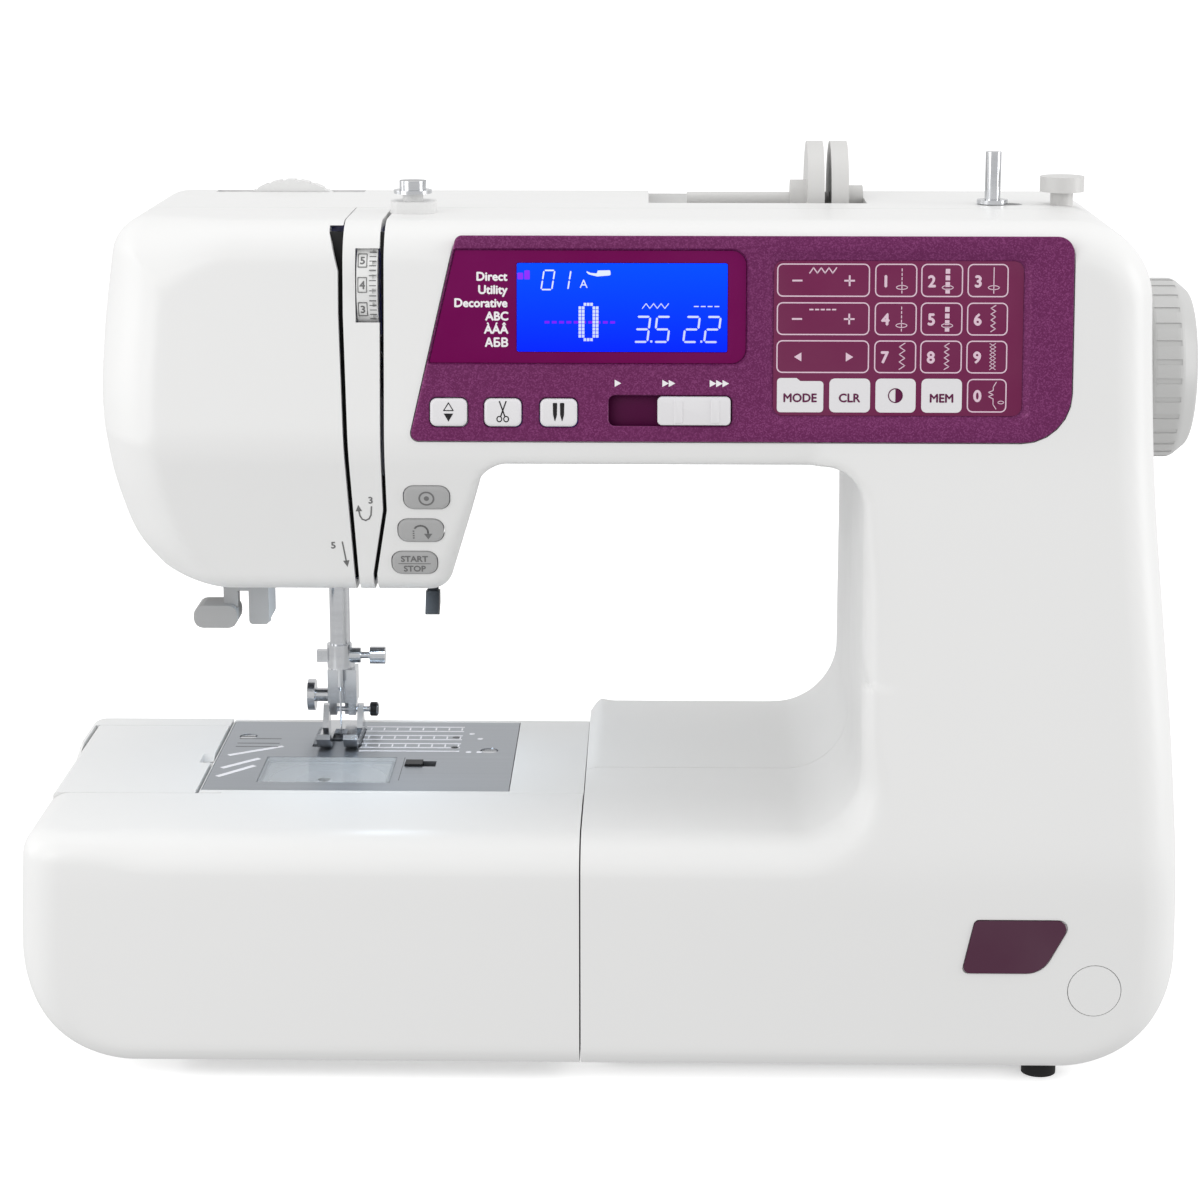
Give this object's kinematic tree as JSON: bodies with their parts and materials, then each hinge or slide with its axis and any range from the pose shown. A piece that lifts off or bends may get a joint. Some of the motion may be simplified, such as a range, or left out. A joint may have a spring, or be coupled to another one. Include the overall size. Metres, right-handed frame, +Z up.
{
  "type": "sewing machine",
  "caption": "White computerised free-arm sewing machine with a purple control panel and blue display, hand wheel, stitch mechanism and slide-off storage table.",
  "frame": {"origin": "on the table top, under the middle of the machine", "axes": "+X to the right end with the hand wheel, +Y to the back, +Z up; the control panel faces -Y"},
  "size_m": [0.41, 0.18, 0.314],
  "materials": {
    "casing_white": "glossy moulded plastic",
    "key_white": "glossy plastic key",
    "key_grey": "matt light grey plastic",
    "steel": "fine brushed steel",
    "chromed": "bright plated steel",
    "frame_alloy": "cast aluminium alloy",
    "base_steel": "black painted steel",
    "foot_rubber": "soft black rubber",
    "black_plastic": "matt black plastic",
    "belt_rubber": "toothed rubber belt",
    "clear_plastic": "clear moulded plastic",
    "bobbin_clear": "clear moulded plastic",
    "panel_purple": "metallic purple lacquer on plastic",
    "window_purple": "glossy tinted window",
    "display_blue": "back-lit blue liquid crystal display",
    "keypad_film": "matt membrane film",
    "badge_purple": "flat purple badge",
    "motor_paint": "dark painted steel case"
  },
  "bodies": {
    "machine": {"base_plate": "base_steel", "feet": "foot_rubber", "front_cover": "casing_white", "rear_cover": "casing_white", "face_cover": "casing_white", "thread_strip": "casing_white", "free_arm_cover": "casing_white", "needle_plate": "steel", "bobbin_holder": "black_plastic", "main_frame": "frame_alloy", "motor": "motor_paint", "timing_belt": "belt_rubber", "bobbin_thread_guide": "casing_white", "pretension_disc": "chromed", "spool_pin": "casing_white", "winder_stopper": "casing_white", "control_panel": "panel_purple", "display_window": "window_purple", "display_module": "display_blue", "keypad": "keypad_film", "badge": "badge_purple", "screw_cap": "casing_white", "power_inlet": "black_plastic"},
    "drive_shaft": {"upper_shaft": "steel", "hand_wheel": "casing_white"},
    "hook_shaft": {"lower_shaft": "steel"},
    "hook": {"rotary_hook": "steel"},
    "motor_rotor": {"motor_pulley": "steel"},
    "bobbin": {"bobbin": "bobbin_clear"},
    "needle_bar": {"needle_bar": "chromed", "needle_clamp": "chromed", "needle": "chromed"},
    "needle_screw": {"needle_clamp_screw": "chromed"},
    "presser_bar": {"presser_bar": "chromed", "foot_holder": "chromed"},
    "holder_screw": {"foot_holder_screw": "chromed"},
    "presser_foot": {"presser_foot": "chromed"},
    "presser_lifter": {"presser_lifter": "black_plastic"},
    "take_up_lever": {"take_up_lever": "chromed"},
    "threader_lever": {"threader_lever": "key_grey"},
    "buttonhole_lever": {"buttonhole_lever": "black_plastic"},
    "extension_table": {"extension_table": "casing_white"},
    "storage_lid": {"storage_lid": "casing_white"},
    "hook_cover": {"hook_cover_plate": "clear_plastic"},
    "cover_release": {"cover_release_button": "black_plastic"},
    "feed_dogs": {"feed_dogs": "steel"},
    "drop_feed_lever": {"drop_feed_lever": "black_plastic"},
    "tension_dial": {"tension_dial": "casing_white"},
    "foot_pressure_dial": {"foot_pressure_dial": "casing_white"},
    "spool_cap": {"spool_cap": "casing_white"},
    "winder_spindle": {"winder_spindle": "chromed"},
    "carry_handle": {"carry_handle": "casing_white"},
    "needle_position_key": {"needle_position_key": "key_white"},
    "thread_cutter_key": {"thread_cutter_key": "key_white"},
    "memory_key": {"memory_key": "key_white"},
    "speed_slider": {"speed_slider": "casing_white"},
    "start_stop_button": {"start_stop_button": "key_grey"},
    "reverse_button": {"reverse_button": "key_grey"},
    "lock_stitch_button": {"lock_stitch_button": "key_grey"},
    "power_switch": {"power_switch": "key_white"}
  },
  "joints": [
    {"name": "hand_wheel_turn", "type": "hinge", "parent": "machine", "child": "drive_shaft", "pos_m": [0.196, 0.01, 0.236], "axis": [1, 0, 0], "continuous": true},
    {"name": "lower_shaft_turn", "type": "hinge", "parent": "machine", "child": "hook_shaft", "pos_m": [0, 0.042, 0.045], "axis": [1, 0, 0], "continuous": true},
    {"name": "hook_turn", "type": "hinge", "parent": "machine", "child": "hook", "pos_m": [-0.105, -0.004, 0.06], "axis": [0, 0, 1], "continuous": true},
    {"name": "motor_turn", "type": "hinge", "parent": "machine", "child": "motor_rotor", "pos_m": [0.1, -0.035, 0.045], "axis": [1, 0, 0], "continuous": true},
    {"name": "bobbin_spin", "type": "hinge", "parent": "machine", "child": "bobbin", "pos_m": [-0.105, -0.004, 0.075], "axis": [0, 0, 1], "continuous": true},
    {"name": "needle_bar_stroke", "type": "slide", "parent": "machine", "child": "needle_bar", "axis": [0, 0, 1], "range_m": [-0.013, 0.018]},
    {"name": "needle_screw_turn", "type": "hinge", "parent": "needle_bar", "child": "needle_screw", "pos_m": [-0.095, 0.035, 0.1215], "axis": [1, 0, 0], "range_deg": [0, 360]},
    {"name": "presser_bar_lift", "type": "slide", "parent": "machine", "child": "presser_bar", "axis": [0, 0, 1], "range_m": [0, 0.0062]},
    {"name": "holder_screw_turn", "type": "hinge", "parent": "presser_bar", "child": "holder_screw", "pos_m": [-0.11, 0.046, 0.103], "axis": [1, 0, 0], "range_deg": [0, 360]},
    {"name": "foot_tilt", "type": "hinge", "parent": "presser_bar", "child": "presser_foot", "pos_m": [-0.104, 0.046, 0.0974], "axis": [1, 0, 0], "range_deg": [-4, 0]},
    {"name": "presser_lifter_turn", "type": "hinge", "parent": "machine", "child": "presser_lifter", "pos_m": [-0.104, 0.07, 0.2], "axis": [0, -1, 0], "range_deg": [0, 75]},
    {"name": "take_up_swing", "type": "hinge", "parent": "machine", "child": "take_up_lever", "pos_m": [-0.092, 0.014, 0.236], "axis": [-1, 0, 0], "range_deg": [-22, 31]},
    {"name": "threader_pull", "type": "slide", "parent": "machine", "child": "threader_lever", "axis": [0, 0, 1], "range_m": [-0.035, 0], "stiffness_N_per_m": 60, "springref_m": 0.01},
    {"name": "buttonhole_lever_pull", "type": "slide", "parent": "machine", "child": "buttonhole_lever", "axis": [0, 0, 1], "range_m": [-0.04, 0]},
    {"name": "table_slide", "type": "slide", "parent": "machine", "child": "extension_table", "axis": [-1, 0, 0], "range_m": [0, 0.16]},
    {"name": "storage_lid_open", "type": "hinge", "parent": "extension_table", "child": "storage_lid", "pos_m": [-0.199, 0.01, 0.0864], "axis": [0, -1, 0], "range_deg": [0, 100]},
    {"name": "hook_cover_lift", "type": "slide", "parent": "machine", "child": "hook_cover", "axis": [0, 0, 1], "range_m": [0, 0.04]},
    {"name": "cover_release", "type": "slide", "parent": "machine", "child": "cover_release", "axis": [1, 0, 0], "range_m": [0, 0.004], "stiffness_N_per_m": 200, "springref_m": -0.002},
    {"name": "feed_dog_drop", "type": "slide", "parent": "machine", "child": "feed_dogs", "axis": [0, 0, 1], "range_m": [-0.003, 0]},
    {"name": "drop_feed_slide", "type": "slide", "parent": "machine", "child": "drop_feed_lever", "axis": [1, 0, 0], "range_m": [0, 0.012]},
    {"name": "tension_dial_turn", "type": "hinge", "parent": "machine", "child": "tension_dial", "pos_m": [-0.082, -0.04108, 0.27172], "axis": [1, 0, 0], "range_deg": [-150, 150]},
    {"name": "foot_pressure_turn", "type": "hinge", "parent": "machine", "child": "foot_pressure_dial", "pos_m": [-0.1205, 0.055, 0.2725], "axis": [0, 1, 0], "range_deg": [-120, 120]},
    {"name": "spool_cap_slide", "type": "slide", "parent": "machine", "child": "spool_cap", "axis": [-1, 0, 0], "range_m": [0, 0.036]},
    {"name": "winder_shift", "type": "slide", "parent": "machine", "child": "winder_spindle", "axis": [1, 0, 0], "range_m": [0, 0.005]},
    {"name": "handle_swing", "type": "hinge", "parent": "machine", "child": "carry_handle", "pos_m": [0.033, 0.083, 0.284], "axis": [1, 0, 0], "range_deg": [0, 170]},
    {"name": "needle_position_key_press", "type": "slide", "parent": "machine", "child": "needle_position_key", "axis": [0, 0.9936, -0.1132], "range_m": [0, 0.001], "stiffness_N_per_m": 600, "springref_m": -0.0005},
    {"name": "thread_cutter_key_press", "type": "slide", "parent": "machine", "child": "thread_cutter_key", "axis": [0, 0.9936, -0.1132], "range_m": [0, 0.001], "stiffness_N_per_m": 600, "springref_m": -0.0005},
    {"name": "memory_key_press", "type": "slide", "parent": "machine", "child": "memory_key", "axis": [0, 0.9936, -0.1132], "range_m": [0, 0.001], "stiffness_N_per_m": 600, "springref_m": -0.0005},
    {"name": "speed_slide", "type": "slide", "parent": "machine", "child": "speed_slider", "axis": [-1, 0, 0], "range_m": [0, 0.0155]},
    {"name": "start_stop_button_press", "type": "slide", "parent": "machine", "child": "start_stop_button", "axis": [0, 0.9494, 0.314], "range_m": [0, 0.001], "stiffness_N_per_m": 600, "springref_m": -0.0005},
    {"name": "reverse_button_press", "type": "slide", "parent": "machine", "child": "reverse_button", "axis": [0, 0.9494, 0.314], "range_m": [0, 0.001], "stiffness_N_per_m": 600, "springref_m": -0.0005},
    {"name": "lock_stitch_button_press", "type": "slide", "parent": "machine", "child": "lock_stitch_button", "axis": [0, 0.9494, 0.314], "range_m": [0, 0.001], "stiffness_N_per_m": 600, "springref_m": -0.0005},
    {"name": "power_switch_rock", "type": "hinge", "parent": "machine", "child": "power_switch", "pos_m": [0.186, 0.04, 0.076], "axis": [0, 1, 0], "range_deg": [0, 10]}
  ],
  "couplings": [
    {"joint": "lower_shaft_turn", "follows": "hand_wheel_turn", "ratio": 1},
    {"joint": "hook_turn", "follows": "hand_wheel_turn", "ratio": -2},
    {"joint": "motor_turn", "follows": "hand_wheel_turn", "ratio": 3},
    {"joint": "take_up_swing", "follows": "needle_bar_stroke", "rad_per_m": 29},
    {"joint": "presser_lifter_turn", "follows": "presser_bar_lift", "rad_per_m": 208},
    {"joint": "feed_dog_drop", "follows": "drop_feed_slide", "ratio": -0.25}
  ]
}
